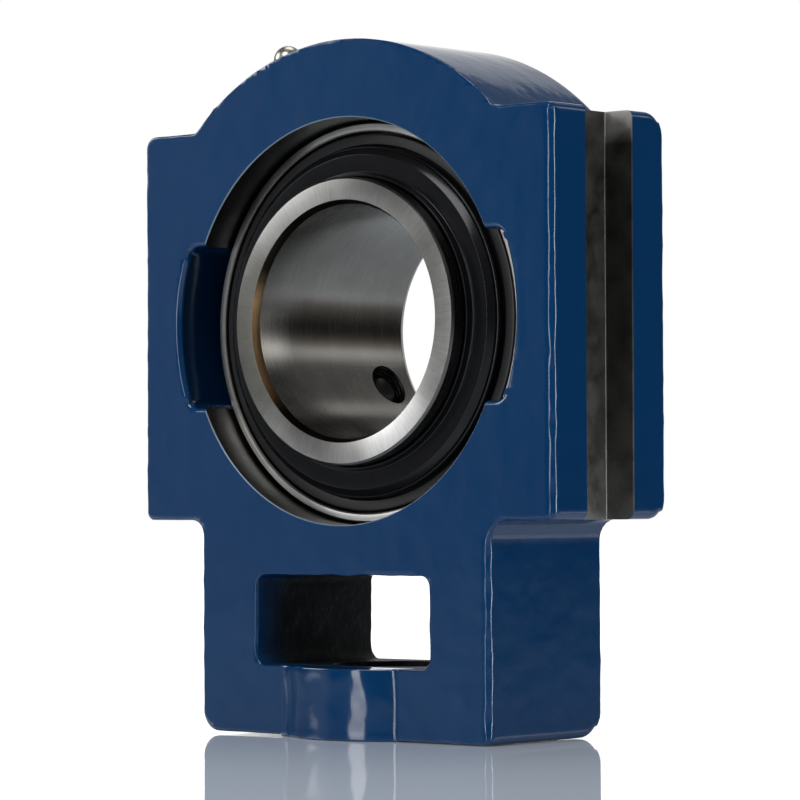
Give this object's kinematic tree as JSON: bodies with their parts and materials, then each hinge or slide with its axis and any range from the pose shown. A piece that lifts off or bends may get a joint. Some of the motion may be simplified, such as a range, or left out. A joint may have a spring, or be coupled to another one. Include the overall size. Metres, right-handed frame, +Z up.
{
  "type": "take up bearing unit",
  "caption": "Cast take-up housing with guide grooves, adjusting slot and screw boss, carrying a self-aligning ball bearing insert with set screws and a grease nipple.",
  "frame": {"origin": "under the middle of the unit's width and depth, on the plane of the screw boss's end, which it stands on", "axes": "+Z up along the adjusting screw's axis, shaft axis along Y with the wide side of the inner ring towards +Y, +X to the right seen from the front"},
  "size_m": [0.1164, 0.0572, 0.1539],
  "materials": {
    "blue_enamel": "deep blue glossy enamel over cast iron",
    "ground_steel": "ground bearing steel",
    "polished_steel": "polished bearing steel",
    "seal_rubber": "black nitrile rubber",
    "black_flinger": "satin black coated sheet",
    "cage_polyamide": "natural polyamide",
    "blackened_steel": "blackened",
    "zinc_plate": "bright zinc plate"
  },
  "bodies": {
    "housing": {"housing": "blue_enamel", "grease_nipple": "zinc_plate", "nipple_spring": "polished_steel"},
    "insert": {"outer_ring": "ground_steel", "front_seal": "seal_rubber", "rear_seal": "seal_rubber"},
    "inner": {"inner_ring": "ground_steel", "front_flinger": "black_flinger", "rear_flinger": "black_flinger"},
    "cage": {"cage": "cage_polyamide"},
    "ball_01": {"ball_01": "polished_steel"},
    "ball_02": {"ball_02": "polished_steel"},
    "ball_03": {"ball_03": "polished_steel"},
    "ball_04": {"ball_04": "polished_steel"},
    "ball_05": {"ball_05": "polished_steel"},
    "ball_06": {"ball_06": "polished_steel"},
    "ball_07": {"ball_07": "polished_steel"},
    "ball_08": {"ball_08": "polished_steel"},
    "ball_09": {"ball_09": "polished_steel"},
    "ball_10": {"ball_10": "polished_steel"},
    "set_screw_1": {"set_screw_1": "blackened_steel"},
    "set_screw_2": {"set_screw_2": "blackened_steel"},
    "nipple_ball": {"nipple_ball": "polished_steel"}
  },
  "joints": [
    {"name": "insert_tilt", "type": "hinge", "parent": "housing", "child": "insert", "pos_m": [0, -0.00405, 0.09], "axis": [1, 0, 0], "range_deg": [-5, 5]},
    {"name": "inner_spin", "type": "hinge", "parent": "insert", "child": "inner", "pos_m": [0, -0.00405, 0.09], "axis": [0, 1, 0], "continuous": true},
    {"name": "cage_spin", "type": "hinge", "parent": "insert", "child": "cage", "pos_m": [0, -0.00405, 0.09], "axis": [0, 1, 0], "continuous": true},
    {"name": "ball_01_roll", "type": "hinge", "parent": "cage", "child": "ball_01", "pos_m": [0.0352, -0.00405, 0.09], "axis": [0, 1, 0], "continuous": true},
    {"name": "ball_02_roll", "type": "hinge", "parent": "cage", "child": "ball_02", "pos_m": [0.02848, -0.00405, 0.11069], "axis": [0, 1, 0], "continuous": true},
    {"name": "ball_03_roll", "type": "hinge", "parent": "cage", "child": "ball_03", "pos_m": [0.01088, -0.00405, 0.12348], "axis": [0, 1, 0], "continuous": true},
    {"name": "ball_04_roll", "type": "hinge", "parent": "cage", "child": "ball_04", "pos_m": [-0.01088, -0.00405, 0.12348], "axis": [0, 1, 0], "continuous": true},
    {"name": "ball_05_roll", "type": "hinge", "parent": "cage", "child": "ball_05", "pos_m": [-0.02848, -0.00405, 0.11069], "axis": [0, 1, 0], "continuous": true},
    {"name": "ball_06_roll", "type": "hinge", "parent": "cage", "child": "ball_06", "pos_m": [-0.0352, -0.00405, 0.09], "axis": [0, 1, 0], "continuous": true},
    {"name": "ball_07_roll", "type": "hinge", "parent": "cage", "child": "ball_07", "pos_m": [-0.02848, -0.00405, 0.06931], "axis": [0, 1, 0], "continuous": true},
    {"name": "ball_08_roll", "type": "hinge", "parent": "cage", "child": "ball_08", "pos_m": [-0.01088, -0.00405, 0.05652], "axis": [0, 1, 0], "continuous": true},
    {"name": "ball_09_roll", "type": "hinge", "parent": "cage", "child": "ball_09", "pos_m": [0.01088, -0.00405, 0.05652], "axis": [0, 1, 0], "continuous": true},
    {"name": "ball_10_roll", "type": "hinge", "parent": "cage", "child": "ball_10", "pos_m": [0.02848, -0.00405, 0.06931], "axis": [0, 1, 0], "continuous": true},
    {"name": "set_screw_1_feed", "type": "slide", "parent": "inner", "child": "set_screw_1", "axis": [0.8704, 0, 0.4924], "range_m": [0, 0.0012]},
    {"name": "set_screw_2_feed", "type": "slide", "parent": "inner", "child": "set_screw_2", "axis": [-0.0087, 0, -1], "range_m": [0, 0.0012]},
    {"name": "nipple_valve", "type": "slide", "parent": "housing", "child": "nipple_ball", "axis": [0.4695, 0, -0.8829], "range_m": [0, 0.0008], "stiffness_N_per_m": 600, "deforming": ["nipple_spring"]}
  ],
  "couplings": [
    {"joint": "cage_spin", "follows": "inner_spin", "ratio": 0.4098},
    {"joint": "ball_01_roll", "follows": "inner_spin", "ratio": -2.6815},
    {"joint": "ball_02_roll", "follows": "inner_spin", "ratio": -2.6815},
    {"joint": "ball_03_roll", "follows": "inner_spin", "ratio": -2.6815},
    {"joint": "ball_04_roll", "follows": "inner_spin", "ratio": -2.6815},
    {"joint": "ball_05_roll", "follows": "inner_spin", "ratio": -2.6815},
    {"joint": "ball_06_roll", "follows": "inner_spin", "ratio": -2.6815},
    {"joint": "ball_07_roll", "follows": "inner_spin", "ratio": -2.6815},
    {"joint": "ball_08_roll", "follows": "inner_spin", "ratio": -2.6815},
    {"joint": "ball_09_roll", "follows": "inner_spin", "ratio": -2.6815},
    {"joint": "ball_10_roll", "follows": "inner_spin", "ratio": -2.6815}
  ]
}
